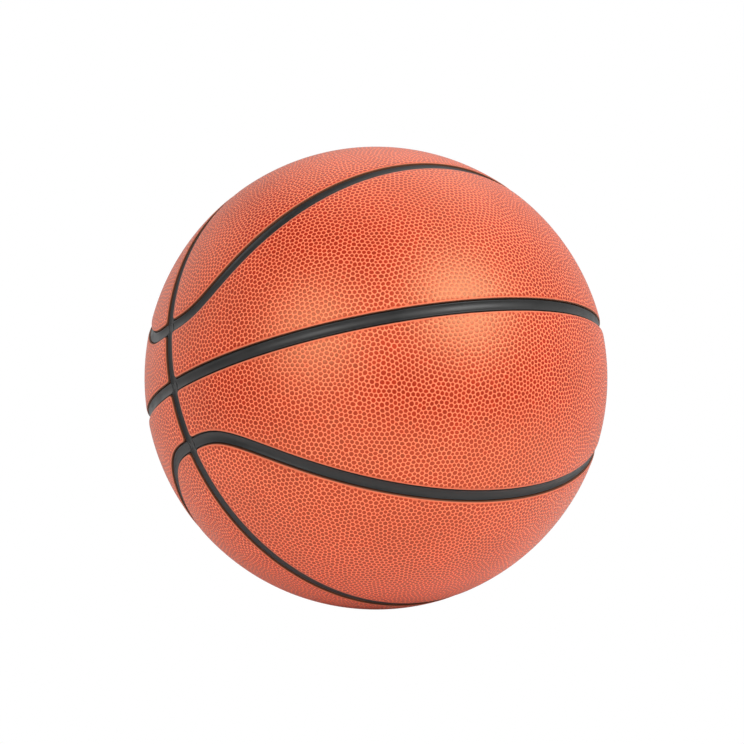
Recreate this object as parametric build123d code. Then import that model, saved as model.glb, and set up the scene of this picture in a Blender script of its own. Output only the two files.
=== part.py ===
from build123d import *
from math import asin, cos, pi, radians, sin, tan
import os

# Indoor and outdoor game ball, full size, eight cover panels on a moulded carcass.
# Millimetres and degrees. The origin is the ball's centre, +Z is up as the ball lies.
# The seams are laid out with X through the two points where the straight channels cross,
# and Z square to the middle channel. Then the whole ball is turned about X to how it lies.

# Whole ball
ball_radius = 121.0          # over the cover, 760 mm round
ball_turn = 19.9             # turn about X from the seam layout to how the ball lies
cement_line = 0.1            # gap left between bonded layers
cut_overrun = 3.0            # how far a cutting body passes the face that it cuts

# Channels between the panels
channel_width = 6.2          # from panel wall to panel wall
rib_height = 1.1             # from the carcass under a panel to the shoulders of a rib
rib_shoulder = 0.5           # flat strip on each side of a rib's hollow top
rib_hollow = 0.6             # from the shoulders down to the middle of the hollow top
loop_end_latitude = 14.5     # height of a curved channel over the middle one, at its ends
loop_side_latitude = 44.7    # the same half way between its ends
loop_squareness = 3.4        # 2 is an ellipse, more is straighter sides and rounder ends
loop_stations = 96           # points that the curve of a channel is drawn through
loop_root_share = 0.16       # the cones that cut the curved walls start this far out
loop_overlap = 4.0           # how far a bent groove runs past the eighth that it cuts

# Cover panels
panel_thickness = 2.0
panel_corner_radius = 1.5
panel_edge_roll = 0.8        # rounding of a panel's outer rim

# Layers under the cover
carcass_wall = 1.4
winding_wall = 0.7
bladder_wall = 0.9

# Valve
stem_diameter = 5.2
stem_recess = 2.2            # from the cover's face down to the end of the stem
flange_diameter = 36.0
flange_thickness = 1.4
boss_diameter = 12.0
boss_root_diameter = 17.0    # where the boss's cone meets the flange
boss_floor = 2.5             # rubber left under the plug
vent_diameter = 2.8          # way from the plug to the air inside

plug_clearance = 0.06        # round the plug, on the radius
plug_head_diameter = 4.0
plug_head_length = 3.4
plug_neck_diameter = 3.4
plug_length = 14.0
plug_recess = 0.5            # from the stem's end down to the plug's head
plug_edge_radius = 0.4
plug_seal = 3.0              # inner end of the plug, which closes by itself
needle_bore_diameter = 2.2
needle_lead_in = 0.5         # countersink at the mouth of the needle's bore

# Radii of the layers, from the outside in
panel_inner_radius = ball_radius - panel_thickness
carcass_outer_radius = panel_inner_radius - cement_line
carcass_inner_radius = carcass_outer_radius - carcass_wall
rib_radius = carcass_outer_radius + rib_height
winding_outer_radius = carcass_inner_radius - cement_line
winding_inner_radius = winding_outer_radius - winding_wall
bladder_outer_radius = winding_inner_radius - cement_line
bladder_inner_radius = bladder_outer_radius - bladder_wall
flange_outer_radius = bladder_inner_radius - cement_line
flange_inner_radius = flange_outer_radius - flange_thickness

# Distances of the valve's faces from the ball's centre
stem_end = ball_radius - stem_recess
plug_top = stem_end - plug_recess
plug_shoulder = plug_top - plug_head_length
plug_bottom = plug_top - plug_length
boss_end = plug_bottom - boss_floor
needle_bore_end = plug_bottom + plug_seal

# Hollow top of the ribs: an arc through both shoulders and the floor
rib_half_width = channel_width / 2 - cement_line
hollow_half_width = rib_half_width - rib_shoulder
groove_radius = (hollow_half_width**2 + rib_hollow**2) / (2 * rib_hollow)
groove_centre = rib_radius - rib_hollow + groove_radius


def loop_direction(longitude):
    """Unit vector from the centre to the middle of a curved channel."""
    end_rise = abs(cos(longitude)) * tan(radians(loop_end_latitude))
    side_rise = abs(sin(longitude)) * tan(radians(loop_side_latitude))
    rise = (end_rise**loop_squareness + side_rise**loop_squareness) ** (1 / loop_squareness)
    return Vector(cos(longitude), sin(longitude), rise).normalized()


def beside_loop(longitude, swing):
    """The same, swung square to the channel: plus is to the inside of the loop."""
    half_step = pi / loop_stations
    here = loop_direction(longitude)
    along = loop_direction(longitude + half_step) - loop_direction(longitude - half_step)
    inwards = here.cross(along).normalized()
    return here * cos(swing) + inwards * sin(swing)


def loop_directions(swing):
    """Directions all the way round a curved channel."""
    return [beside_loop(2 * pi * k / loop_stations, swing) for k in range(loop_stations)]


def loop_cone(wall_offset):
    """Cone from the centre through a line beside the curved channel, so its walls are radial."""
    directions = loop_directions(asin(wall_offset / ball_radius))
    ends = []
    for level in (ball_radius * loop_root_share, ball_radius + 2 * cut_overrun):
        outline = Spline([way * (level / way.Z) for way in directions], periodic=True)
        ends.append(make_face(outline))
    return loft(ends, ruled=True)


def corner_block(side_align):
    """Block larger than the ball, with one edge or corner at the centre."""
    reach = 2 * (ball_radius + cut_overrun)
    return Box(reach, reach, reach, align=(side_align, Align.MIN, Align.MIN))


def quarter_shell(outer_radius, inner_radius, wall_offset):
    """Quarter of a hollow ball, with its flat walls beside the two straight channels."""
    shell = Sphere(outer_radius) - Sphere(inner_radius)
    return shell & Pos(0, wall_offset, wall_offset) * corner_block(Align.CENTER)


def panel_blanks(outer_radius, inner_radius, wall_offset):
    """One cap panel and one waist panel with square edges."""
    quarter = quarter_shell(outer_radius, inner_radius, wall_offset)
    cap = quarter & loop_cone(wall_offset)
    waist = quarter - loop_cone(-wall_offset)
    return cap.solids()[0], waist.solids()[0]


def finished_panel(blank):
    """Rounds the corners of a blank, then rolls its outer rim."""
    half_way_out = ball_radius - panel_thickness / 2
    corners = [e for e in blank.edges() if ((e @ 0).length > half_way_out) != ((e @ 1).length > half_way_out)]
    rounded = fillet(corners, panel_corner_radius).solids()[0]
    rim = [e for e in rounded.edges() if min((e @ 0).length, (e @ 1).length) > half_way_out]
    return fillet(rim, panel_edge_roll).solids()[0]


def four_of(piece):
    """The piece and its mirror images across the two straight channels."""
    pair = [piece, mirror(piece, about=Plane.XZ)]
    return pair + [mirror(each, about=Plane.XY) for each in pair]


def on_valve_axis(radius, low, high):
    """Round bar on the valve's axis, which is +Y in the seam layout."""
    bar = Cylinder(radius, high - low, align=(Align.CENTER, Align.CENTER, Align.MIN))
    return Rot(X=-90) * Pos(0, 0, low) * bar


def stem_hole():
    """Way for the valve's stem through a layer."""
    return on_valve_axis(stem_diameter / 2 + cement_line, 0, ball_radius)


def hollow_ball(outer_radius, inner_radius):
    """Closed layer with the hole that the valve's stem passes through."""
    return Sphere(outer_radius) - Sphere(inner_radius) - stem_hole()


def loop_groove():
    """Round bar bent along a quarter of the curved channel, a little past it at both ends."""
    start = -radians(loop_overlap)
    steps = loop_stations // 4
    step = (pi / 2 - 2 * start) / steps
    path = Spline([loop_direction(start + step * k) * groove_centre for k in range(steps + 1)])
    section = Plane(origin=path @ 0, z_dir=path % 0) * Circle(groove_radius)
    return sweep(section, path=path)


def carcass_body():
    """Rubber shell under the cover, with the hollow-topped ribs that stand between the panels."""
    pockets = panel_blanks(ball_radius + cut_overrun, carcass_outer_radius, rib_half_width)
    body = Sphere(rib_radius) & corner_block(Align.MIN)
    middle_groove = Torus(groove_centre, groove_radius)
    for cutter in (*pockets, middle_groove, Rot(X=90) * middle_groove, loop_groove()):
        body = body - cutter
    for plane in (Plane.YZ, Plane.XZ, Plane.XY):
        body = body + mirror(body, about=plane)
    return body - Sphere(carcass_inner_radius) - stem_hole()


def valve_housing_body():
    """Stem, flange on the bladder's inside and the boss that holds the plug."""
    flange_edge = on_valve_axis(flange_diameter / 2, 0, ball_radius)
    flange = (Sphere(flange_outer_radius) - Sphere(flange_inner_radius)) & flange_edge
    stem = on_valve_axis(stem_diameter / 2, flange_inner_radius, stem_end)
    boss_height = flange_inner_radius - boss_end
    cone = Cone(boss_diameter / 2, boss_root_diameter / 2, boss_height,
                align=(Align.CENTER, Align.CENTER, Align.MIN))
    boss = Rot(X=-90) * Pos(0, 0, boss_end) * cone
    seat_end = plug_bottom - plug_clearance
    head_seat = on_valve_axis(plug_head_diameter / 2 + plug_clearance, plug_shoulder, ball_radius)
    neck_seat = on_valve_axis(plug_neck_diameter / 2 + plug_clearance, seat_end, ball_radius)
    vent = on_valve_axis(vent_diameter / 2, 0, ball_radius)
    return flange + stem + boss - head_seat - neck_seat - vent


def valve_plug_body():
    """Push-in plug with the bore that takes the inflating needle."""
    head = on_valve_axis(plug_head_diameter / 2, plug_shoulder, plug_top)
    neck = on_valve_axis(plug_neck_diameter / 2, plug_bottom, plug_shoulder)
    plug = head + neck
    ends = plug.edges().filter_by(GeomType.CIRCLE).sort_by(Axis.Y)
    plug = fillet([ends[0], ends[-1]], plug_edge_radius)
    bore = on_valve_axis(needle_bore_diameter / 2, needle_bore_end, plug_top)
    mouth = Cone(needle_bore_diameter / 2, needle_bore_diameter / 2 + needle_lead_in, needle_lead_in,
                 align=(Align.CENTER, Align.CENTER, Align.MAX))
    return plug - bore - Rot(X=-90) * Pos(0, 0, plug_top) * mouth


def lay_down(piece):
    """Turns a piece from the seam layout to how the ball lies."""
    return Rot(X=-ball_turn) * piece


pieces = {}
cap_blank, waist_blank = panel_blanks(ball_radius, panel_inner_radius, channel_width / 2)
quarters = ("back_upper", "front_upper", "back_lower", "front_lower")
for where, piece in zip(quarters, four_of(finished_panel(cap_blank))):
    pieces[f"cap_panel_{where}"] = piece
for where, piece in zip(quarters, four_of(finished_panel(waist_blank))):
    pieces[f"waist_panel_{where}"] = piece
pieces["carcass"] = carcass_body()
pieces["winding"] = hollow_ball(winding_outer_radius, winding_inner_radius)
pieces["bladder"] = hollow_ball(bladder_outer_radius, bladder_inner_radius)
pieces["valve_housing"] = valve_housing_body()
pieces["valve_plug"] = valve_plug_body()

os.makedirs("parts", exist_ok=True)
for name, piece in pieces.items():
    export_step(lay_down(piece), f"parts/{name}.step")
    print(name, len(piece.solids()), round(piece.volume), "mm3")
print("rib hollow's radius", round(groove_radius, 2), "mm, ball", round(2 * pi * ball_radius), "mm round")
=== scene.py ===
import math

import bmesh
import bpy
import numpy as np
from mathutils import Matrix, Vector
from mathutils.geometry import delaunay_2d_cdt
from mathutils.kdtree import KDTree


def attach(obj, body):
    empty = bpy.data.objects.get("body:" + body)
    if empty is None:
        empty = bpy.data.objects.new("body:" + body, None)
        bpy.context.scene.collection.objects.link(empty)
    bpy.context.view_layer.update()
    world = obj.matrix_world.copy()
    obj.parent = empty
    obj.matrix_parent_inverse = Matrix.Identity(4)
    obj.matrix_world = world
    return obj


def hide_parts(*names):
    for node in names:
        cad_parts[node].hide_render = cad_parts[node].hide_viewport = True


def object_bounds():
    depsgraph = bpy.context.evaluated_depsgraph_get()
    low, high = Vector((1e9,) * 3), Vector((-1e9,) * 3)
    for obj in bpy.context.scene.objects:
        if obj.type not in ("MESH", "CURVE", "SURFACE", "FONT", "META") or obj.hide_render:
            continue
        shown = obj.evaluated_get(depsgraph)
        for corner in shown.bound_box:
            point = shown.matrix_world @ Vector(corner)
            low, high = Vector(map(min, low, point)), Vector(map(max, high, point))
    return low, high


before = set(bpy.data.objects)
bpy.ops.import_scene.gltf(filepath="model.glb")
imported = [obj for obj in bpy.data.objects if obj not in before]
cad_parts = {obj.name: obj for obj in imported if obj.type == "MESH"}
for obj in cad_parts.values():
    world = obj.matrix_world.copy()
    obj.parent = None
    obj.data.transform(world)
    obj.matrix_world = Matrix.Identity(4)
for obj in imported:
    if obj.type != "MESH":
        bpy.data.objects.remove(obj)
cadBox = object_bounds()
print("frame loaded:", ", ".join(sorted(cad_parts)))

# metres and degrees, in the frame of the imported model: the ball's centre is the origin
ball = {
    "radius": round((cadBox[1].z - cadBox[0].z) / 2, 4),
    "turn": 19.9,              # about X, from the seam layout to how the ball lies
    "channelWidth": 0.0062,    # from panel wall to panel wall
    "loopEnd": 14.5,           # height of a curved channel over the middle one, at its ends
    "loopSide": 44.7,          # the same half way between its ends
    "loopSquareness": 3.4,     # 2 is an ellipse, more is straighter sides
    "lineSpan": (-4, 94),      # a quarter of a curved channel and a little past both ends
    "linePoints": 700,
}
radius = ball["radius"]
turn = math.radians(ball["turn"])
toRow = np.array([[1, 0, 0],
                  [0, math.cos(turn), math.sin(turn)],
                  [0, -math.sin(turn), math.cos(turn)]])
xAxis, yAxis, zAxis = np.eye(3)


def unit(v):
    return v / np.linalg.norm(v, axis=-1, keepdims=True)


def smoothStep(low, high, x):
    t = np.clip((x - low) / (high - low), 0, 1)
    return t * t * (3 - 2 * t)


def softMin(a, b, reach):
    h = np.clip(reach - np.abs(a - b), 0, None) / reach
    return np.minimum(a, b) - h * h * reach / 4


def swing(angles, start, end):
    # directions turned by these angles from start towards end
    return np.cos(angles)[:, None] * start + np.sin(angles)[:, None] * end


def arcLength(sine):
    # metres along the cover, from the sine of the angle to a plane or line
    return np.arcsin(np.clip(sine, -1, 1)) * radius


def loopDirection(lon):
    endRise = np.abs(np.cos(lon)) * math.tan(math.radians(ball["loopEnd"]))
    sideRise = np.abs(np.sin(lon)) * math.tan(math.radians(ball["loopSide"]))
    power = ball["loopSquareness"]
    rise = (endRise**power + sideRise**power) ** (1 / power)
    return unit(np.stack([np.cos(lon), np.sin(lon), rise], axis=-1))


# a quarter of the curved channel's middle line, with its sideways directions
loopLine = loopDirection(np.radians(np.linspace(*ball["lineSpan"], ball["linePoints"])))
loopInward = unit(np.cross(loopLine, np.gradient(loopLine, axis=0)))


def fromLoop(dirs):
    # metres from the upper curved channel's middle line, plus on its inside
    folded = np.column_stack([np.abs(dirs[:, 0]), np.abs(dirs[:, 1]), dirs[:, 2]])
    sine = np.empty(len(dirs))
    batch = 8192               # keeps the table of products small
    for start in range(0, len(dirs), batch):
        part = folded[start:start + batch]
        nearest = np.argmax(part @ loopLine.T, axis=1)
        sine[start:start + batch] = np.einsum("ij,ij->i", part, loopInward[nearest])
    return arcLength(sine)


def dropUnused(quads, tris, count):
    # which vertices have a face, and the faces renumbered to those
    used = np.zeros(count, dtype=bool)
    used[quads] = True
    used[tris] = True
    renumber = np.cumsum(used) - 1
    return used, renumber[quads], renumber[tris]


def addMesh(name, co, quads, tris, attributes=None, uv=None):
    mesh = bpy.data.meshes.new(name)
    loops = np.concatenate([quads.reshape(-1), tris.reshape(-1)]).astype(np.int32)
    starts = np.concatenate([np.arange(len(quads)) * 4, len(quads) * 4 + np.arange(len(tris)) * 3])
    mesh.vertices.add(len(co))
    mesh.vertices.foreach_set("co", co.astype(np.float32).ravel())
    mesh.loops.add(len(loops))
    mesh.loops.foreach_set("vertex_index", loops)
    mesh.polygons.add(len(starts))
    mesh.polygons.foreach_set("loop_start", starts.astype(np.int32))
    mesh.update(calc_edges=True)
    mesh.polygons.foreach_set("use_smooth", np.ones(len(starts), dtype=bool))
    for key, values in (attributes or {}).items():
        layer = mesh.attributes.new(key, "FLOAT", "POINT")
        layer.data.foreach_set("value", values.astype(np.float32))
    if uv is not None:
        layer = mesh.uv_layers.new(name="OFBake")
        layer.data.foreach_set("uv", uv[loops].astype(np.float32).ravel())
    mesh.update()
    piece = bpy.data.objects.new(name, mesh)
    bpy.context.scene.collection.objects.link(piece)
    return piece


# shader helpers: a value that is a socket is linked, any other is set
def setInputs(tree, node, inputs):
    for key, value in inputs.items():
        if isinstance(value, bpy.types.NodeSocket):
            tree.links.new(value, node.inputs[key])
        else:
            node.inputs[key].default_value = value


def addNode(tree, kind, inputs=None, **settings):
    made = tree.nodes.new(kind)
    for key, value in settings.items():
        setattr(made, key, value)
    setInputs(tree, made, inputs or {})
    return made


def newGroup(name, inputs, outputName, outputKind):
    tree = bpy.data.node_groups.new(name, "ShaderNodeTree")
    for label, value in inputs.items():
        kind = "NodeSocketColor" if isinstance(value, tuple) else "NodeSocketFloat"
        socket = tree.interface.new_socket(name=label, in_out="INPUT", socket_type=kind)
        socket.default_value = value
    tree.interface.new_socket(name=outputName, in_out="OUTPUT", socket_type=outputKind)
    return tree, tree.nodes.new("NodeGroupInput").outputs, tree.nodes.new("NodeGroupOutput")


def useGroup(tree, group, inputs):
    made = tree.nodes.new("ShaderNodeGroup")
    made.node_tree = group
    setInputs(tree, made, inputs)
    return made.outputs[0]


def mixColour(tree, factor, a, b):
    made = addNode(tree, "ShaderNodeMix", data_type="RGBA")
    setInputs(tree, made, {0: factor, 6: a, 7: b})
    return made.outputs[2]


def mapRange(tree, value, fromRange=(0.0, 1.0), toRange=(0.0, 1.0), smooth=False):
    ends = {"Value": value, "From Min": fromRange[0], "From Max": fromRange[1],
            "To Min": toRange[0], "To Max": toRange[1]}
    kind = "SMOOTHSTEP" if smooth else "LINEAR"
    return addNode(tree, "ShaderNodeMapRange", ends, interpolation_type=kind).outputs["Result"]


def noiseOf(tree, size, detail, roughness):
    place = addNode(tree, "ShaderNodeTexCoord").outputs["Object"]
    perMetre = addNode(tree, "ShaderNodeMath", {0: 1.0, 1: size}, operation="DIVIDE").outputs[0]
    look = {"Vector": place, "Scale": perMetre, "Detail": detail, "Roughness": roughness}
    return addNode(tree, "ShaderNodeTexNoise", look).outputs["Fac"]


def cameraSees(tree, shown, lighting):
    # one shader for the camera, another for all that it lights
    seen = addNode(tree, "ShaderNodeLightPath").outputs["Is Camera Ray"]
    return addNode(tree, "ShaderNodeMixShader", {0: seen, 1: lighting, 2: shown}).outputs[0]


def newMaterial(name):
    material = bpy.data.materials.new(name)
    material.use_nodes = True
    tree = material.node_tree
    tree.nodes.clear()
    surface = tree.nodes.new("ShaderNodeBsdfPrincipled")
    output = tree.nodes.new("ShaderNodeOutputMaterial")
    tree.links.new(surface.outputs["BSDF"], output.inputs["Surface"])
    return material, tree, surface


# patchy mask from noise at a given size, used for dye, dust and bloom
patches, groupIn, groupOut = newGroup(
    "patches", {"Size": 0.01, "Low": 0.4, "High": 0.6}, "Mask", "NodeSocketFloat")
noise = noiseOf(patches, groupIn["Size"], detail=3.0, roughness=0.55)
mask = mapRange(patches, noise, (groupIn["Low"], groupIn["High"]), smooth=True)
setInputs(patches, groupOut, {"Mask": mask})

# fine relief of a moulded or grained skin
skinRelief, groupIn, groupOut = newGroup(
    "skinRelief", {"Size": 0.0005, "Height": 0.00003, "Strength": 0.5}, "Normal", "NodeSocketVector")
noise = noiseOf(skinRelief, groupIn["Size"], detail=2.0, roughness=0.6)
look = {"Strength": groupIn["Strength"], "Distance": groupIn["Height"], "Height": noise}
bump = addNode(skinRelief, "ShaderNodeBump", look)
setInputs(skinRelief, groupOut, {"Normal": bump.outputs["Normal"]})

# darkens or lightens a colour by a mask around one half
shade, groupIn, groupOut = newGroup(
    "shade", {"Color": (0.5, 0.5, 0.5, 1), "Mask": 0.5, "Amount": 0.2}, "Color", "NodeSocketColor")
centred = addNode(shade, "ShaderNodeMath", {0: groupIn["Mask"], 1: 0.5}, operation="SUBTRACT")
factor = addNode(shade, "ShaderNodeMath",
                 {0: centred.outputs[0], 1: groupIn["Amount"], 2: 1.0}, operation="MULTIPLY_ADD")
scaled = addNode(shade, "ShaderNodeVectorMath",
                 {0: groupIn["Color"], "Scale": factor.outputs[0]}, operation="SCALE")
setInputs(shade, groupOut, {"Color": scaled.outputs["Vector"]})
print("shader groups made")

cover = {
    # pebbles
    "pitch": 0.00234,          # between pebbles
    "height": 0.00007,         # of a pebble over the valleys round it
    "sizeSpread": 0.06,        # how much pebbles differ in size
    "sizeLimits": (0.75, 1.25),
    "sizeLift": 0.5,           # how much of a difference in size is also one in height
    "roundness": 0.34,         # 0 is a pebble shaped like its cell, 1 is round
    "ringShare": 0.94,         # of the cell's mean reach, for the round shape
    "topShare": 0.74,          # where a pebble's shoulder lies between its middle and the valley
    "halfLift": 0.93,          # height of the shoulders towards a neighbour, as a share
    "cornerLift": 0.90,        # the same towards a corner of the cell
    "edgeLift": 0.12,          # height of the saddle between two neighbours
    "toneSpread": 0.14,
    "firstSeed": 11,
    # how the pebbles are packed, with lengths in pitches
    "jitter": 0.32,            # of the starting lattice
    "startMargin": 0.12,       # from the rolled rim to the first pebbles
    "keptMargin": 0.08,        # the same after packing
    "pushes": 24,
    "pushShare": 0.32,         # of an overlap that one push takes away
    "spacing": 0.56,           # half the wanted distance of two pebbles of size 1
    "rimReach": 0.02,          # size that a point of the rim counts as
    "neighbours": 8,
    "freshEvery": 4,           # pushes from one search for neighbours to the next
    # rim and wall
    "edgeRoll": 0.0007,        # rounding of a panel's rim
    "rollAngles": (18, 36, 54, 72, 90),
    "edgeDrop": 0.00012,       # how far the rim sinks before it rolls over
    "edgeFade": 0.0012,        # from the wall to where the pebbles have their full height
    "sinkFade": 1.2,           # the same for the sinking, in edge fades
    "edgeTone": 0.18,          # colour of the smooth strip along the rim, between valley and pebble
    "thickness": 0.0020,
    "cornerRound": 0.0022,
    "rimStep": 0.00115,
    "uvMargin": 0.005,
    # looks
    "net": (0.95, 0.222, 0.107, 1),
    "dot": (0.338, 0.005, 0.0003, 1),
    "edge": (0.48, 0.120, 0.072, 1),
    "wall": (0.085, 0.026, 0.016, 1),
    "dotRange": (0.09, 0.27),  # from valley to pebble, over the pebble attribute
    "edgeRange": (0.00, 0.10),  # from leather to its rolled rim, over the rim attribute
    "wallRange": (0.14, 0.26),  # from the rim to the wall
    "toneAmount": 0.45,
    "dye": {"Size": 0.030, "Low": 0.30, "High": 0.70},
    "dyeAmount": 0.10,
    "dotRoughness": 0.38,
    "netRoughness": 0.62,
    "edgeRoughness": 0.62,
    "dotSpecular": 0.95,
    "netSpecular": 0.50,
    "specularTint": (1.0, 0.76, 0.38, 1),
    "grain": {"Size": 0.00045, "Height": 0.00002, "Strength": 0.35},
}
# in the seam layout, where y and z are plus
panelMiddle = {"cap": (0.0, 0.60, 0.80), "waist": (0.0, 1.0, 0.08)}
panelFlips = {"back_upper": (1, 1), "front_upper": (-1, 1),
              "back_lower": (1, -1), "front_lower": (-1, -1)}


def wallDistance(kind, dirs):
    # metres from the walls of the panel of this kind, in the quarter where y and z are plus
    half = ball["channelWidth"] / 2
    beside = arcLength(dirs[:, 1]) - half
    curved = fromLoop(dirs)
    if kind == "cap":
        return softMin(beside, curved - half, cover["cornerRound"])
    above = arcLength(dirs[:, 2]) - half
    straight = softMin(beside, above, cover["cornerRound"])
    return softMin(straight, -curved - half, cover["cornerRound"])


def toLevel(kind, dirs, level):
    # slides points along the surface until they lie this far from the walls
    slides, probe = 4, 1e-4
    aside = np.array([0.36, 0.48, 0.8])  # no rim passes through this direction
    for _ in range(slides):
        sideways = unit(np.cross(dirs, aside))
        upwards = np.cross(dirs, sideways)
        slope = np.zeros_like(dirs)
        for way in (sideways, upwards):
            ahead = wallDistance(kind, unit(dirs + way * probe))
            behind = wallDistance(kind, unit(dirs - way * probe))
            slope += way * ((ahead - behind) / (2 * probe))[:, None]
        miss = level - wallDistance(kind, dirs)
        dirs = unit(dirs + slope * (miss / np.einsum("ij,ij->i", slope, slope))[:, None])
    return dirs


def panelChart(kind):
    middle = unit(np.array(panelMiddle[kind]))
    return middle, xAxis, np.cross(middle, xAxis)


def panelRim(kind, level):
    # evenly spaced points round a panel, this far from its walls
    bearings, farthest, halvings = 8000, math.radians(115), 30
    middle, east, north = panelChart(kind)
    heading = swing(np.linspace(0, 2 * math.pi, bearings, endpoint=False), east, north)
    low = np.zeros(bearings)
    high = np.full(bearings, farthest)
    for _ in range(halvings):
        half = (low + high) / 2
        inside = wallDistance(kind, swing(half, middle, heading)) > level
        low = np.where(inside, half, low)
        high = np.where(inside, high, half)
    line = swing(low, middle, heading)
    closed = np.vstack([line, line[:1]])
    steps = np.linalg.norm(np.diff(closed, axis=0), axis=1)
    length = np.concatenate([[0], np.cumsum(steps)])
    count = int(length[-1] * radius / cover["rimStep"])
    places = np.arange(count) * length[-1] / count
    even = unit(np.column_stack([np.interp(places, length, closed[:, k]) for k in range(3)]))
    return toLevel(kind, even, level)


def neighboursOf(points, count):
    tree = KDTree(len(points))
    for index, point in enumerate(points):
        tree.insert(point, index)
    tree.balance()
    return np.array([[hit[1] for hit in tree.find_n(point, count + 1)[1:]] for point in points])


def pebbleCentres(kind, rim, rng):
    # a shaken spiral lattice, kept inside the panel and pushed apart until it is packed evenly
    pitch = cover["pitch"] / radius
    count = int(4 * math.pi / (pitch**2 * math.sqrt(3) / 2))
    height = 1 - 2 * (np.arange(count) + 0.5) / count
    around = np.arange(count) * math.pi * (3 - math.sqrt(5))
    flat = np.sqrt(1 - height**2)
    spiral = np.column_stack([flat * np.cos(around), flat * np.sin(around), height])
    spiral = spiral @ np.linalg.qr(rng.normal(size=(3, 3)))[0]
    spiral = unit(spiral + rng.normal(0, cover["jitter"] * pitch, spiral.shape))
    near = spiral[(spiral[:, 1] > 0) & (spiral[:, 2] > 0)]
    margin = cover["edgeRoll"] + cover["startMargin"] * cover["pitch"]
    centres = near[wallDistance(kind, near) > margin]
    size = np.clip(rng.normal(1, cover["sizeSpread"], len(centres)), *cover["sizeLimits"])
    reach = np.concatenate([size, np.full(len(rim), cover["rimReach"])])
    for step in range(cover["pushes"]):
        points = np.vstack([centres, rim])
        if step % cover["freshEvery"] == 0:
            close = neighboursOf(points, cover["neighbours"])[:len(centres)]
        gap = centres[:, None] - points[close]
        away = np.linalg.norm(gap, axis=2)
        wanted = pitch * cover["spacing"] * (size[:, None] + reach[close])
        push = np.clip(wanted - away, 0, None) / np.maximum(away, 1e-9)
        centres = unit(centres + cover["pushShare"] * np.einsum("ijk,ij->ik", gap, push))
    margin = cover["edgeRoll"] + cover["keptMargin"] * cover["pitch"]
    kept = wallDistance(kind, centres) > margin
    return centres[kept], size[kept]


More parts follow.
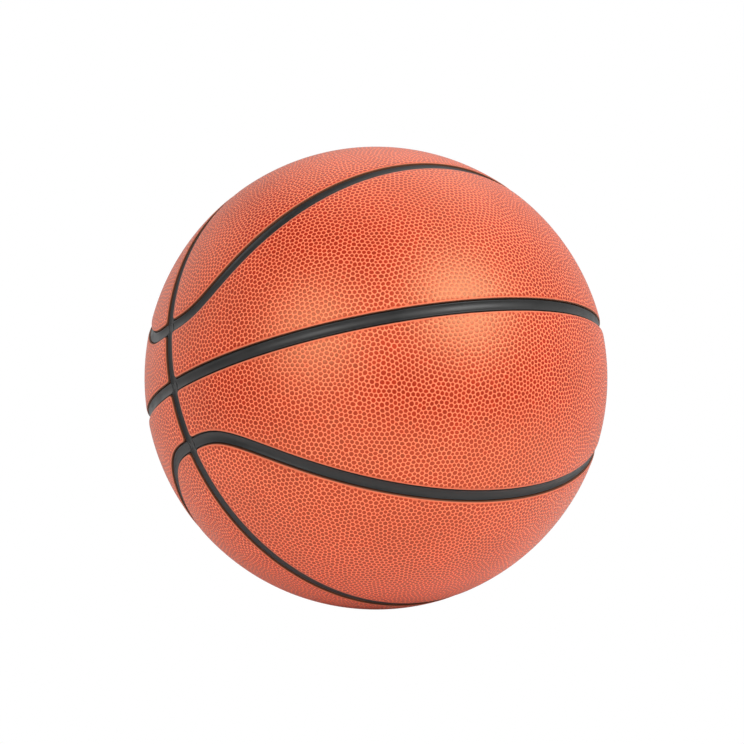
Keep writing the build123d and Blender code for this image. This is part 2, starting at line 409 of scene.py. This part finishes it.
def panelPiece(name, kind, flip, seed, rim):
    rng = np.random.default_rng(seed)
    centres, size = pebbleCentres(kind, rim, rng)
    middle, east, north = panelChart(kind)
    dirs = np.vstack([rim, centres])
    rimCount = len(rim)
    total = len(dirs)

    # triangles between the pebbles' middles, in a chart that keeps circles round
    depth = 1 + dirs @ middle
    chart = np.column_stack([dirs @ east / depth, dirs @ north / depth])
    fence = [(k, (k + 1) % rimCount) for k in range(rimCount)]
    found = delaunay_2d_cdt([Vector(p) for p in chart.tolist()], fence, [], 1, 1e-7)
    source = np.array([ids[0] for ids in found[3]])
    tri = source[np.array(found[2])]
    a, b, c = (chart[tri[:, k]] for k in range(3))
    ab, ac = b - a, c - a
    turned = ab[:, 0] * ac[:, 1] - ab[:, 1] * ac[:, 0] < 0
    tri[turned] = tri[turned][:, ::-1]

    def pairKey(one, other):
        return np.minimum(one, other) * total + np.maximum(one, other)

    # each pebble's cell goes round it through triangle middles and edge middles
    triCount = len(tri)
    corner = tri.reshape(-1)
    following = np.roll(tri, -1, axis=1).reshape(-1)
    previous = np.roll(tri, 1, axis=1).reshape(-1)
    owner = np.repeat(np.arange(triCount), 3)
    pairs = np.concatenate([pairKey(corner, following), pairKey(corner, previous)])
    keys, edgeOf = np.unique(pairs, return_inverse=True)
    edgeA, edgeB = edgeOf[:len(corner)], edgeOf[len(corner):]
    edgeCount = len(keys)
    ends = np.column_stack([keys // total, keys % total])
    triMid = unit(dirs[tri].mean(axis=1))
    edgeSum = np.zeros((edgeCount, 3))
    edgeUse = np.zeros(edgeCount)
    np.add.at(edgeSum, edgeA, triMid[owner])
    np.add.at(edgeUse, edgeA, 1)
    between = unit(dirs[ends[:, 0]] + dirs[ends[:, 1]])
    edgeMid = np.where((edgeUse == 2)[:, None], unit(edgeSum), between)

    # mean reach of each cell
    isPebble = corner >= rimCount
    pebbleOf = np.clip(corner - rimCount, 0, None)
    toTri = np.linalg.norm(triMid[owner] - dirs[corner], axis=1)
    toEdge = np.linalg.norm(edgeMid[edgeA] - dirs[corner], axis=1)
    ringSum = np.zeros(len(centres))
    ringUse = np.zeros(len(centres))
    np.add.at(ringSum, pebbleOf[isPebble], (toTri + toEdge)[isPebble] / 2)
    np.add.at(ringUse, pebbleOf[isPebble], 1)
    ringMean = ringSum / np.maximum(ringUse, 1)

    def shoulder(target, pebble):
        arm = target - centres[pebble]
        long = np.linalg.norm(arm, axis=1, keepdims=True)
        mean = ringMean[pebble][:, None] * cover["ringShare"]
        rounded = long + (mean - long) * cover["roundness"]
        return centres[pebble] + arm / long * cover["topShare"] * rounded

    # vertices: rim, tops, triangle middles, edge middles, shoulders towards both kinds
    triAt = rimCount + len(centres)
    edgeAt = triAt + triCount
    halfAt = edgeAt + edgeCount
    cornAt = halfAt + 2 * edgeCount
    halfEnd = ends.reshape(-1) - rimCount
    halfDirs = np.repeat(edgeMid, 2, axis=0)
    usable = halfEnd >= 0
    halfDirs[usable] = shoulder(halfDirs[usable], halfEnd[usable])
    cornDirs = triMid[owner].copy()
    cornDirs[isPebble] = shoulder(triMid[owner][isPebble], pebbleOf[isPebble])
    allDirs = unit(np.vstack([dirs, triMid, edgeMid, halfDirs, cornDirs]))
    tone = rng.normal(0.5, cover["toneSpread"], len(centres))
    pebbleTone = np.concatenate([np.full(rimCount, 0.5), tone, np.full(triCount + edgeCount, 0.5),
                                 np.where(usable, tone[np.clip(halfEnd, 0, None)], 0.5),
                                 np.where(isPebble, tone[pebbleOf], 0.5)])
    topLift = 1 - cover["sizeLift"] * (1 - size)
    lift = np.concatenate([np.zeros(rimCount), topLift, np.zeros(triCount),
                           np.full(edgeCount, cover["edgeLift"]),
                           np.where(usable, cover["halfLift"], 0.0),
                           np.where(isPebble, cover["cornerLift"], 0.0)])
    lift = np.minimum(lift, 1)
    nearRim = np.concatenate([(tri < rimCount).any(axis=1), (ends < rimCount).any(axis=1)])
    outside = 1 - cover["topShare"]
    mask = np.concatenate([np.zeros(rimCount), np.ones(len(centres)), cover["edgeTone"] * nearRim,
                           np.where(usable, outside, 0.0), np.where(isPebble, outside, 0.0)])

    # faces of the slopes, of the strip along the rim and of the tops
    triV = triAt + owner
    edgeVA, edgeVB = edgeAt + edgeA, edgeAt + edgeB
    halfVA = halfAt + 2 * edgeA + np.where(corner == ends[edgeA, 0], 0, 1)
    halfVB = halfAt + 2 * edgeB + np.where(corner == ends[edgeB, 0], 0, 1)
    cornV = cornAt + np.arange(len(corner))
    quads = [np.column_stack([edgeVA, triV, cornV, halfVA])[isPebble],
             np.column_stack([triV, edgeVB, halfVB, cornV])[isPebble],
             np.column_stack([corner, edgeVA, triV, edgeVB])[~isPebble]]
    tris = [np.column_stack([halfVA, cornV, corner])[isPebble],
            np.column_stack([cornV, halfVB, corner])[isPebble]]

    # depth under the cover's face: pebbles fade and the leather sinks towards the rim
    wall = wallDistance(kind, allDirs)
    full = smoothStep(cover["edgeRoll"], cover["edgeFade"], wall)
    sunk = 1 - smoothStep(cover["edgeRoll"], cover["edgeFade"] * cover["sinkFade"], wall)
    drop = cover["edgeDrop"] * sunk + cover["height"] * full * (1 - lift)
    mask = mask * full + cover["edgeTone"] * (1 - full)
    rimMask = np.zeros(len(allDirs))

    # the rim rolls over and goes down the wall
    onRim = np.arange(rimCount)
    rimEdges = np.searchsorted(keys, pairKey(onRim, (onRim + 1) % rimCount))
    ring = np.column_stack([onRim, edgeAt + rimEdges]).reshape(-1)
    ringDirs = allDirs[ring]
    uvDirs = [allDirs]
    levels = [(math.radians(angle), 0.0) for angle in cover["rollAngles"]]
    for angle, deep in levels + [(math.radians(90), 1.0)]:
        level = cover["edgeRoll"] * (1 - math.sin(angle))
        low = cover["edgeDrop"] + cover["edgeRoll"] * (1 - math.cos(angle))
        low = low + deep * (cover["thickness"] - low)
        ringDirs = toLevel(kind, ringDirs, level)
        outer = len(allDirs) + np.arange(len(ring))
        quads.append(np.column_stack([ring, outer, np.roll(outer, -1), np.roll(ring, -1)]))
        allDirs = np.vstack([allDirs, ringDirs])
        uvDirs.append(ringDirs if deep == 0 else toLevel(kind, ringDirs, -cover["thickness"] / 2))
        drop = np.concatenate([drop, np.full(len(ring), low)])
        mask = np.concatenate([mask, np.zeros(len(ring))])
        pebbleTone = np.concatenate([pebbleTone, np.full(len(ring), 0.5)])
        rimMask = np.concatenate([rimMask, np.full(len(ring), angle / math.pi + deep / 2)])
        ring = outer

    # mirror to the panel's own quarter and lay the ball down
    used, quads, tris = dropUnused(np.vstack(quads), np.vstack(tris), len(allDirs))
    co = (allDirs * (radius - drop)[:, None])[used]
    co = co * np.array([1, flip[0], flip[1]])
    if flip[0] * flip[1] < 0:
        quads, tris = quads[:, ::-1], tris[:, ::-1]
    around = np.vstack(uvDirs)[used]
    spread = np.sqrt(2 / (1 + around @ middle))
    uv = np.column_stack([around @ east * spread, around @ north * spread])
    uv = (uv - uv.min(axis=0)) / (uv.max(axis=0) - uv.min(axis=0)).max()
    uv = cover["uvMargin"] + (1 - 2 * cover["uvMargin"]) * uv
    attributes = {"pebble": mask[used], "tone": pebbleTone[used], "rim": rimMask[used]}
    return addMesh(name, co @ toRow.T, quads, tris, attributes, uv), len(centres)


leather, tree, surface = newMaterial("pebbledLeather")
pebble, tone, rimDepth = (addNode(tree, "ShaderNodeAttribute", attribute_name=key).outputs["Fac"]
                          for key in ("pebble", "tone", "rim"))
dotMask = mapRange(tree, pebble, cover["dotRange"], smooth=True)
edgeMask = mapRange(tree, rimDepth, cover["edgeRange"])
wallMask = mapRange(tree, rimDepth, cover["wallRange"])
dye = useGroup(tree, patches, cover["dye"])
dots = useGroup(tree, shade, {"Color": cover["dot"], "Mask": tone, "Amount": cover["toneAmount"]})
skin = mixColour(tree, dotMask, cover["net"], dots)
skin = useGroup(tree, shade, {"Color": skin, "Mask": dye, "Amount": cover["dyeAmount"]})
skin = mixColour(tree, edgeMask, skin, cover["edge"])
skin = mixColour(tree, wallMask, skin, cover["wall"])
gloss = mapRange(tree, dotMask, toRange=(cover["netRoughness"], cover["dotRoughness"]))
gloss = mapRange(tree, edgeMask, toRange=(gloss, cover["edgeRoughness"]))
shine = mapRange(tree, dotMask, toRange=(cover["netSpecular"], cover["dotSpecular"]))
grain = useGroup(tree, skinRelief, cover["grain"])
setInputs(tree, surface, {"Base Color": skin, "Roughness": gloss, "Specular IOR Level": shine,
                          "Specular Tint": cover["specularTint"], "Normal": grain})

panelRims = {kind: panelRim(kind, cover["edgeRoll"]) for kind in ("cap", "waist")}
seed = cover["firstSeed"]
for kind in ("cap", "waist"):
    for where, flip in panelFlips.items():
        node = f"{kind}_panel_{where}"
        piece, count = panelPiece(f"leather_{node}", kind, flip, seed, panelRims[kind])
        piece.data.materials.append(leather)
        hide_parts(node)
        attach(piece, "ball")
        seed += 1
        print(piece.name, count, "pebbles", len(piece.data.polygons), "faces")

channel = {
    "shoulder": 0.00100,       # from the cover's face down to the shoulders of a rib
    "hollow": 0.00060,         # from the shoulders down to the middle of its hollow top
    "hollowHalf": 0.00225,     # half the width of the hollow
    "half": 0.00258,           # half the width of a rib
    "crease": 0.00035,         # depth of the lines beside the upright channel at its crossings
    "creaseWidth": 0.00022,
    "creaseEnd": 0.0002,       # how far a line runs past the channel that is crossed
    "skirt": 0.00130,          # how far a rib's sides go down beside the panels
    "cutOverlap": 0.00004,     # of the upright channel's pieces into the channels they end at
    "shellDepth": 0.00215,     # from the cover's face to the carcass under a panel
    "shellCuts": 6,            # how often the shell's faces are split
    "wallThickness": 0.0014,
    "across": 22,              # faces over a rib's width
    "step": 0.0014,
    "fineStep": 0.00030,
    "fineReach": 0.007,        # how far the fine steps go from a crossing
    "fineFade": 0.008,         # from there to the full step
    "linePoints": 6001,
    "color": (0.0125, 0.0127, 0.0127, 1),
    "roughness": 0.41,
    "specular": 0.40,
    "dust": {"Size": 0.012, "Low": 0.35, "High": 0.70},
    "dustAmount": 0.30,
    "dustRoughness": 0.10,
    "grain": {"Size": 0.00030, "Height": 0.00002, "Strength": 0.40},
}
valveHole = {
    "radius": 0.00252,
    "depth": 0.0021,           # from the cover's face to the end of the hole's wall
    "collar": 0.009,           # radius of the ring that joins the wall to the shell
    "shellGap": 0.0012,        # from the hole to the shell's faces
    "sides": 72,
}


def grooveDepth(dirs):
    # from the cover's face down to the hollow tops, the deepest of the channels that pass here
    folded = np.abs(dirs)
    away = np.stack([arcLength(folded[:, 1]), arcLength(folded[:, 2]), np.abs(fromLoop(folded))])
    bend = (channel["hollowHalf"]**2 + channel["hollow"]**2) / (2 * channel["hollow"])
    inside = np.clip(away, 0, channel["hollowHalf"])
    depth = channel["hollow"] - bend + np.sqrt(bend**2 - inside**2)
    crossing = np.minimum(away[1], away[2]) < channel["half"] + channel["creaseEnd"]
    fromLine = (away[0] - channel["hollowHalf"]) / channel["creaseWidth"]
    crease = np.exp(-fromLine**2) * crossing
    return channel["shoulder"] + depth.max(axis=0) + channel["crease"] * crease


def stations(length, fineAt):
    # places along a channel, closer together near the given places
    places = [0.0]
    while places[-1] < length:
        near = min(abs(places[-1] - at) for at in fineAt)
        coarse = min(1, max(0, near - channel["fineReach"]) / channel["fineFade"])
        step = channel["fineStep"] + (channel["step"] - channel["fineStep"]) * coarse
        places.append(places[-1] + step)
    places = np.array(places)
    return places * length / places[-1]


def stripGrid(middles, sides, closed):
    # a strip of the rib's hollow top with its two sides
    offsets = np.linspace(-channel["half"], channel["half"], channel["across"] + 1) / radius
    offsets = offsets[None, :, None]
    rows = np.cos(offsets) * middles[:, None] + np.sin(offsets) * sides[:, None]
    rows = np.concatenate([rows[:, :1], rows, rows[:, -1:]], axis=1)
    wide = rows.shape[1]
    dirs = rows.reshape(-1, 3)
    depth = grooveDepth(dirs).reshape(-1, wide)
    depth[:, 0] += channel["skirt"]
    depth[:, -1] += channel["skirt"]
    index = np.arange(len(dirs)).reshape(-1, wide)
    if closed:
        index = np.vstack([index, index[:1]])
    quads = np.stack([index[:-1, :-1], index[:-1, 1:], index[1:, 1:], index[1:, :-1]], axis=-1)
    return dirs, depth.reshape(-1), quads.reshape(-1, 4)


def channelStrips():
    # the middle channel, all the way round, fine at the crossings and the valve
    lap = 2 * math.pi * radius
    places = stations(lap, [0, lap / 4, lap / 2, lap])[:-1] / radius
    sides = np.tile(zAxis, (len(places), 1))
    strips = [stripGrid(swing(places, xAxis, yAxis), sides, True)]

    # both curved channels
    lon = np.linspace(0, 2 * math.pi, channel["linePoints"])
    steps = np.linalg.norm(np.diff(loopDirection(lon), axis=0), axis=1)
    length = np.concatenate([[0], np.cumsum(steps)]) * radius
    lap = length[-1]
    lon = np.interp(stations(lap, [0, lap / 2, lap])[:-1], length, lon)
    middles = loopDirection(lon)
    probe = 1e-4
    along = loopDirection(lon + probe) - loopDirection(lon - probe)
    dirs, depth, quads = stripGrid(middles, unit(np.cross(middles, along)), True)
    strips.append((dirs, depth, quads))
    strips.append((dirs * np.array([1, 1, -1]), depth, quads[:, ::-1]))

    # the upright channel, in pieces between the channels that it crosses
    bend = math.radians(ball["loopEnd"])
    cut = (channel["half"] - channel["cutOverlap"]) / radius
    spans = [(cut, bend - cut), (bend + cut, math.pi - bend - cut),
             (math.pi - bend + cut, math.pi - cut)]
    spans += [(math.pi + low, math.pi + high) for low, high in spans]
    for low, high in spans:
        length = (high - low) * radius
        places = low + stations(length, [0, length]) / radius
        sides = np.tile(-yAxis, (len(places), 1))
        strips.append(stripGrid(swing(places, xAxis, zAxis), sides, False))
    return strips


def cutValveHole(co, quads):
    # a round hole in the middle channel, with a wall and a collar under the panels
    fromAxis = np.hypot(co[:, 0], co[:, 2])
    within = (co[:, 1] > 0) & (fromAxis < valveHole["radius"])
    quads = quads[~within[quads].all(axis=1)]
    grow = np.where(within, valveHole["radius"] / np.maximum(fromAxis, 1e-6), 1.0)
    co = co * np.column_stack([grow, np.ones(len(co)), grow])
    angle = np.linspace(0, 2 * math.pi, valveHole["sides"], endpoint=False)
    circle = swing(angle, xAxis, zAxis) * valveHole["radius"]
    rise = np.sqrt(radius**2 - valveHole["radius"]**2) * yAxis
    upper = circle + rise - grooveDepth(unit(circle + rise))[:, None] * yAxis
    lower = circle + rise - valveHole["depth"] * yAxis
    collar = circle * (valveHole["collar"] / valveHole["radius"])
    collar = unit(collar + rise) * (radius - channel["shellDepth"])
    rings = len(co) + np.arange(3 * len(angle)).reshape(3, -1)
    for outer, inner in zip(rings[:-1], rings[1:]):
        wall = np.column_stack([outer, np.roll(outer, -1), np.roll(inner, -1), inner])
        quads = np.vstack([quads, wall])
    return np.vstack([co, upper, lower, collar]), quads


def openShell():
    # directions and triangles of a fine ball, open round the valve
    maker = bpy.data.meshes.new("shellMaker")
    ballMesh = bmesh.new()
    bmesh.ops.create_icosphere(ballMesh, subdivisions=channel["shellCuts"], radius=1.0)
    ballMesh.to_mesh(maker)
    ballMesh.free()
    shell = np.empty(len(maker.vertices) * 3)
    maker.vertices.foreach_get("co", shell)
    shell = unit(shell.reshape(-1, 3))
    faces = np.empty(len(maker.polygons) * 3, dtype=np.int32)
    maker.loops.foreach_get("vertex_index", faces)
    faces = faces.reshape(-1, 3)
    bpy.data.meshes.remove(maker)
    fromAxis = np.hypot(shell[:, 0], shell[:, 2]) * radius
    near = (shell[:, 1] > 0) & (fromAxis < valveHole["radius"] + valveHole["shellGap"])
    return shell, faces[~near[faces].any(axis=1)]


def carcassPiece():
    co, quads, count = [], [], 0
    for dirs, depth, faces in channelStrips():
        co.append(dirs * (radius - depth)[:, None])
        quads.append(faces + count)
        count += len(dirs)
    co, quads = cutValveHole(np.vstack(co), np.vstack(quads))

    # the shell under the panels, outside and inside
    shell, faces = openShell()
    outer = radius - channel["shellDepth"]
    inner = outer - channel["wallThickness"]
    tris = np.vstack([len(co) + faces, len(co) + len(shell) + faces[:, ::-1]])
    co = np.vstack([co, shell * outer, shell * inner])
    used, quads, tris = dropUnused(quads, tris, len(co))
    return addMesh("ribbedCarcass", co[used] @ toRow.T, quads, tris)


rubber, tree, surface = newMaterial("channelRubber")
dust = useGroup(tree, patches, channel["dust"])
skin = useGroup(tree, shade, {"Color": channel["color"], "Mask": dust, "Amount": channel["dustAmount"]})
gloss = addNode(tree, "ShaderNodeMath",
                {0: dust, 1: channel["dustRoughness"], 2: channel["roughness"]}, operation="MULTIPLY_ADD")
grain = useGroup(tree, skinRelief, channel["grain"])
setInputs(tree, surface, {"Base Color": skin, "Roughness": gloss.outputs[0],
                          "Specular IOR Level": channel["specular"], "Normal": grain})

piece = carcassPiece()
piece.data.materials.append(rubber)
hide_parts("carcass")
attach(piece, "ball")
print(piece.name, len(piece.data.polygons), "faces")

# layers and valve pieces that keep their modelled solids
yarn = {
    "color": (0.62, 0.58, 0.48, 1),
    "dark": (0.30, 0.27, 0.21, 1),
    "threadPitch": 0.0006,
    "perScale": 0.31,          # length of one wave at a scale of 1
    "slant": (0.5, 0.7, 0.3),  # of the threads, in radians
    "wander": {"Distortion": 3.0, "Detail": 2.0, "Detail Scale": 0.4},
    "relief": {"Strength": 0.6, "Distance": 0.0002},
    "roughness": 0.80,
}
winding, tree, surface = newMaterial("yarnWinding")
place = addNode(tree, "ShaderNodeTexCoord").outputs["Object"]
slanted = addNode(tree, "ShaderNodeMapping", {"Vector": place, "Rotation": yarn["slant"]})
waves = {"Vector": slanted.outputs["Vector"], "Scale": yarn["perScale"] / yarn["threadPitch"]}
threads = addNode(tree, "ShaderNodeTexWave", {**waves, **yarn["wander"]}).outputs["Fac"]
relief = addNode(tree, "ShaderNodeBump", {**yarn["relief"], "Height": threads})
setInputs(tree, surface, {"Base Color": mixColour(tree, threads, yarn["dark"], yarn["color"]),
                          "Roughness": yarn["roughness"], "Normal": relief.outputs["Normal"]})

# shared by the plain rubbers
rubberBloom = {"Low": 0.35, "High": 0.70}
rubberGrain = {"Height": 0.00002, "Strength": 0.30}


def plainRubber(name, look):
    material, tree, surface = newMaterial(name)
    bloom = useGroup(tree, patches, {"Size": look["bloomSize"], **rubberBloom})
    skin = useGroup(tree, shade, {"Color": look["color"], "Mask": bloom, "Amount": look["bloom"]})
    grain = useGroup(tree, skinRelief, {"Size": look["grain"], **rubberGrain})
    setInputs(tree, surface, {"Base Color": skin, "Roughness": look["roughness"], "Normal": grain})
    return material


butyl = {"color": (0.016, 0.016, 0.018, 1), "roughness": 0.38,
         "bloomSize": 0.020, "bloom": 0.40, "grain": 0.0010}
valve = {"color": (0.030, 0.029, 0.030, 1), "roughness": 0.46,
         "bloomSize": 0.004, "bloom": 0.25, "grain": 0.0003}
plug = {"color": (0.022, 0.022, 0.023, 1), "roughness": 0.40,
        "bloomSize": 0.003, "bloom": 0.25, "grain": 0.00025}
kept = {
    "winding": (winding, "winding_yarn"),
    "bladder": (plainRubber("butylBladder", butyl), "bladder_butyl"),
    "valve_housing": (plainRubber("valveRubber", valve), "valve_rubber"),
    "valve_plug": (plainRubber("plugRubber", plug), "plug_rubber"),
}
for node, (material, slotName) in kept.items():
    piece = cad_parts[node]
    piece.data.materials.clear()
    piece.data.materials.append(material)
    print(node, "takes", material.name)

# studio: a lit table that the camera sees as plain white, like the backdrop
studio = {
    "backdrop": (1.0, 1.0, 1.0, 1),
    "ambientFront": (0.12, 0.12, 0.12, 1),
    "ambientBack": (0.80, 0.80, 0.80, 1),
    "ambientRange": (-0.75, 0.05),  # from back to front, as the cosine to the dark side's middle
    "lean": 0.30,              # turns the dark side from the camera towards the left
    "floor": (0.92, 0.92, 0.92, 1),
    "floorGlow": 0.06,
    "floorSize": 0.82,
}
# the way to each lamp is told as right, up and towards the camera
lamps = {
    "keyRight": {"way": (0.60, 0.515, 0.61), "away": 0.95, "size": 0.66, "power": 8.5},
    "keyLeft": {"way": (-0.45, 0.335, 0.83), "away": 0.95, "size": 0.70, "power": 5.5},
    "rimTop": {"way": (0.10, 0.95, -0.30), "away": 0.95, "size": 1.10, "power": 2.1},
    "fillLeft": {"way": (-0.92, 0.28, -0.28), "away": 0.95, "size": 1.10, "power": 2.0},
}
# the camera stands where the outline and the seams put it
shot = {
    "azimuth": -34.20,
    "elevation": 3.39,
    "distance": 0.995,
    "focal": 1889.5,           # in pixels of the 744 wide picture
    "width": 744,
    "ballAt": (3.9, -6.0),     # of the ball's middle from the picture's, in pixels, right and up
    "sensor": 36.0,            # in millimetres
    "clip": (0.01, 50),
}

scene = bpy.context.scene
azimuth, elevation = math.radians(shot["azimuth"]), math.radians(shot["elevation"])
right = Vector((math.cos(azimuth), math.sin(azimuth), 0))
back = Vector((math.sin(azimuth) * math.cos(elevation),
               -math.cos(azimuth) * math.cos(elevation),
               math.sin(elevation)))
up = back.cross(right)
ray = (right * shot["ballAt"][0] + up * shot["ballAt"][1]) / shot["focal"] - back
cameraData = bpy.data.cameras.new("camera")
cameraData.sensor_width = shot["sensor"]
cameraData.lens = shot["focal"] / shot["width"] * shot["sensor"]
cameraData.clip_start, cameraData.clip_end = shot["clip"]
camera = bpy.data.objects.new("camera", cameraData)
scene.collection.objects.link(camera)
axes = Matrix((right, up, back)).transposed().to_4x4()
camera.matrix_world = Matrix.Translation(-ray.normalized() * shot["distance"]) @ axes
scene.camera = camera

half = studio["floorSize"] / 2
corners = [(x * half, y * half, -radius) for x, y in ((-1, -1), (1, -1), (1, 1), (-1, 1))]
floorMesh = bpy.data.meshes.new("floor")
floorMesh.from_pydata(corners, [], [(0, 1, 2, 3)])
floor = bpy.data.objects.new("floor", floorMesh)
scene.collection.objects.link(floor)
paper = bpy.data.materials.new("paleFloor")
paper.use_nodes = True
tree = paper.node_tree
tree.nodes.clear()
matte = addNode(tree, "ShaderNodeBsdfDiffuse", {"Color": studio["floor"]})
glow = addNode(tree, "ShaderNodeEmission", {"Color": studio["floor"], "Strength": studio["floorGlow"]})
table = addNode(tree, "ShaderNodeAddShader", {0: matte.outputs[0], 1: glow.outputs[0]})
white = addNode(tree, "ShaderNodeEmission", {"Color": studio["backdrop"], "Strength": 1.0})
mixed = cameraSees(tree, white.outputs[0], table.outputs[0])
addNode(tree, "ShaderNodeOutputMaterial", {"Surface": mixed})
floor.data.materials.append(paper)

world = bpy.data.worlds.new("studio")
scene.world = world
world.use_nodes = True
tree = world.node_tree
tree.nodes.clear()
away = addNode(tree, "ShaderNodeTexCoord").outputs["Generated"]
darkSide = (back - right * studio["lean"]).normalized()
facing = addNode(tree, "ShaderNodeVectorMath", {0: away, 1: darkSide}, operation="DOT_PRODUCT")
towards = mapRange(tree, facing.outputs["Value"], studio["ambientRange"], smooth=True)
around = mixColour(tree, towards, studio["ambientBack"], studio["ambientFront"])
dome = addNode(tree, "ShaderNodeBackground", {"Color": around, "Strength": 1.0})
sweep = addNode(tree, "ShaderNodeBackground", {"Color": studio["backdrop"], "Strength": 1.0})
mixed = cameraSees(tree, sweep.outputs[0], dome.outputs[0])
addNode(tree, "ShaderNodeOutputWorld", {"Surface": mixed})

for name, lamp in lamps.items():
    light = bpy.data.lights.new(name, "AREA")
    light.shape = "DISK"
    light.size = lamp["size"]
    light.energy = lamp["power"]
    way = (right * lamp["way"][0] + up * lamp["way"][1] + back * lamp["way"][2]).normalized()
    holder = bpy.data.objects.new(name, light)
    holder.location = way * lamp["away"]
    holder.visible_camera = False
    holder.rotation_mode = "QUATERNION"
    holder.rotation_quaternion = (-way).to_track_quat("-Z", "Y")
    scene.collection.objects.link(holder)

scene.view_settings.view_transform = "Standard"
print("studio set")
